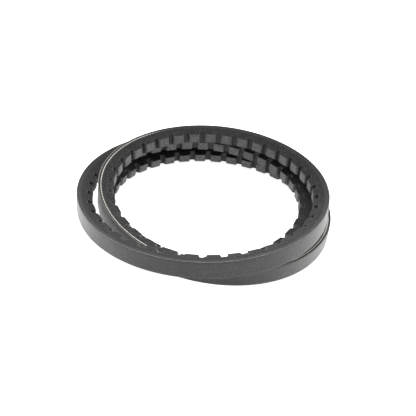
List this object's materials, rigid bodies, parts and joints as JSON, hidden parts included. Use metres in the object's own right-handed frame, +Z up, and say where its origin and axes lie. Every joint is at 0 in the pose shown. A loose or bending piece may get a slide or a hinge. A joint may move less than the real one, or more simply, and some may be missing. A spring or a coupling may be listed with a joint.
{
  "type": "cogged v belt",
  "caption": "Raw-edge V belt with moulded cogs on its inner side, one endless loop coiled in turns; it drives a pulley by its two sloping flanks.",
  "frame": {"origin": "centre of the coil's footprint, on the surface it lies on", "axes": "+Z up, -Y towards the viewer, +X to the viewer's right"},
  "size_m": [0.134, 0.1424, 0.0283],
  "materials": {
    "cover_fabric": "dark grey rubber-coated weave",
    "top_rubber": "cut, matt black rubber",
    "adhesion_gum": "soft black gum",
    "tensile_cord": "twisted off-white polyester",
    "cog_rubber": "ground, fibre-loaded dark grey rubber",
    "cog_fabric": "dark grey facing with fine lines along the belt"
  },
  "bodies": {
    "root": {"cover_fabric": "cover_fabric", "top_rubber": "top_rubber", "upper_gum": "adhesion_gum", "s_twist_cord": "tensile_cord", "z_twist_cord": "tensile_cord", "lower_gum": "adhesion_gum", "cogged_rubber": "cog_rubber", "cog_facing": "cog_fabric"}
  },
  "joints": []
}
